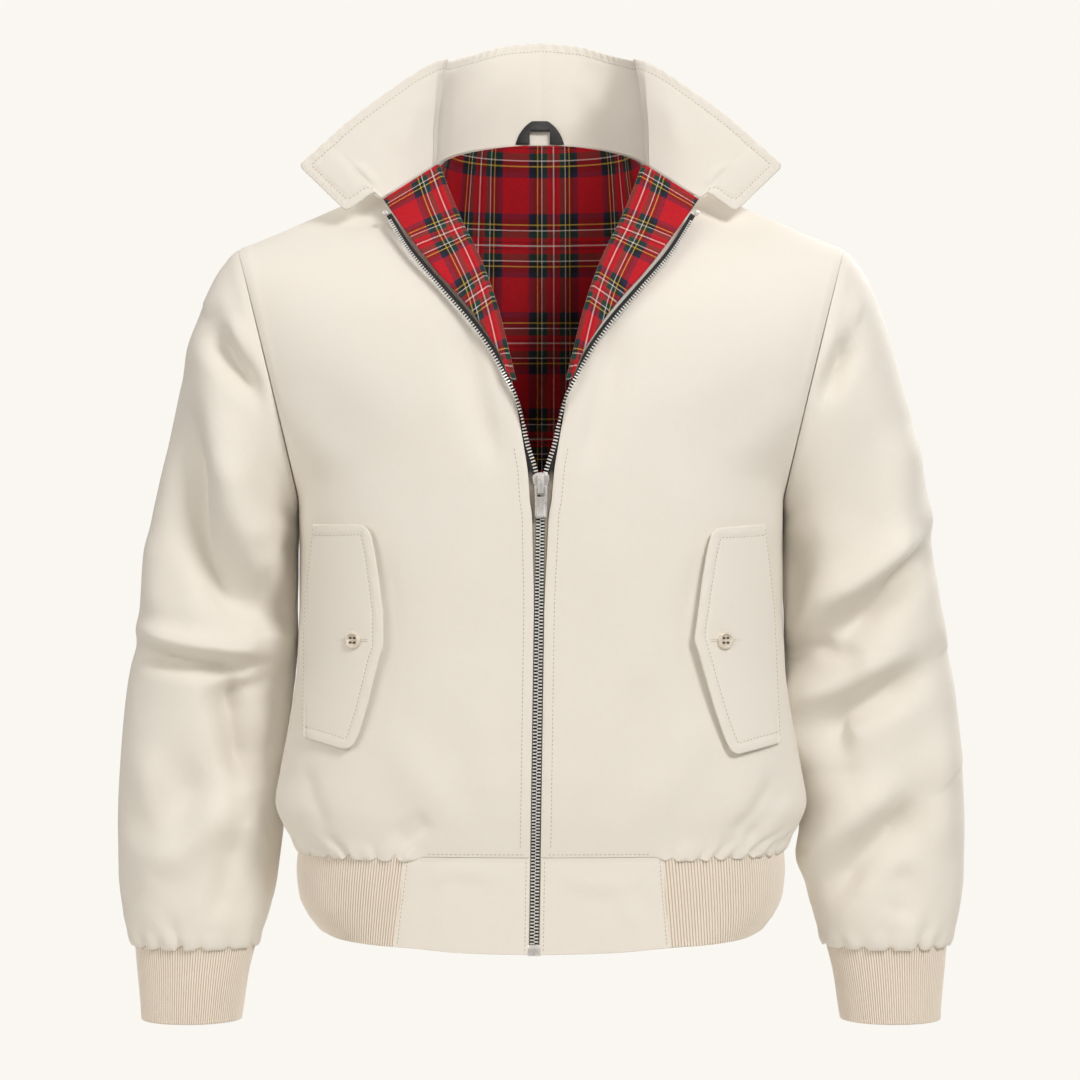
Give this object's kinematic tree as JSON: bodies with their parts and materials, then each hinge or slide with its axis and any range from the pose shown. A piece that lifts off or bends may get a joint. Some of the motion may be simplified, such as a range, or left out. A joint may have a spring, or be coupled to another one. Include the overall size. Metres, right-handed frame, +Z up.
{
  "type": "harrington jacket",
  "caption": "Filled-out blouson jacket with a turned-out collar, tartan lining, half-open zip, slanted flap pockets, and ribbed hem and cuffs.",
  "frame": {"origin": "middle of the neck, level with the points where the shoulder seams meet the collar", "axes": "+Z up, the wearer faces -Y, the wearer's left is +X"},
  "size_m": [0.7198, 0.2553, 0.849],
  "materials": {
    "shell_cloth": "tightly woven cotton blend, dull with a faint sheen",
    "rib_knit": "fine vertical rib knit",
    "tartan_lining": "twill-woven red tartan",
    "zip_tape": "herringbone woven tape",
    "zip_metal": "bright nickel",
    "button": "polished horn-like resin",
    "loop_ribbon": "black ribbon with a soft sheen"
  },
  "bodies": {
    "root": {"front_left": "shell_cloth", "front_right": "shell_cloth", "back": "shell_cloth", "sleeve_left": "shell_cloth", "sleeve_right": "shell_cloth", "collar": "shell_cloth", "waistband_tab_left": "shell_cloth", "waistband_tab_right": "shell_cloth", "pocket_flap_left": "shell_cloth", "pocket_flap_right": "shell_cloth", "waistband_rib": "rib_knit", "cuff_left": "rib_knit", "cuff_right": "rib_knit", "lining_front_left": "tartan_lining", "lining_front_right": "tartan_lining", "lining_back": "tartan_lining", "lapel_left": "tartan_lining", "lapel_right": "tartan_lining", "zip_tape_left": "zip_tape", "zip_tape_right": "zip_tape", "zip_chain_left": "zip_metal", "zip_chain_right": "zip_metal", "zip_top_stop_left": "zip_metal", "zip_top_stop_right": "zip_metal", "zip_box": "zip_metal", "zip_slider": "zip_metal", "button_left": "button", "button_right": "button", "hanger_loop": "loop_ribbon"},
    "pull_tab": {"zip_pull_tab": "zip_metal"}
  },
  "joints": [
    {"name": "pull_tab_swing", "type": "hinge", "parent": "root", "child": "pull_tab", "pos_m": [0, -0.1237, -0.2755], "axis": [-1, 0, 0], "range_deg": [0, 145]}
  ]
}
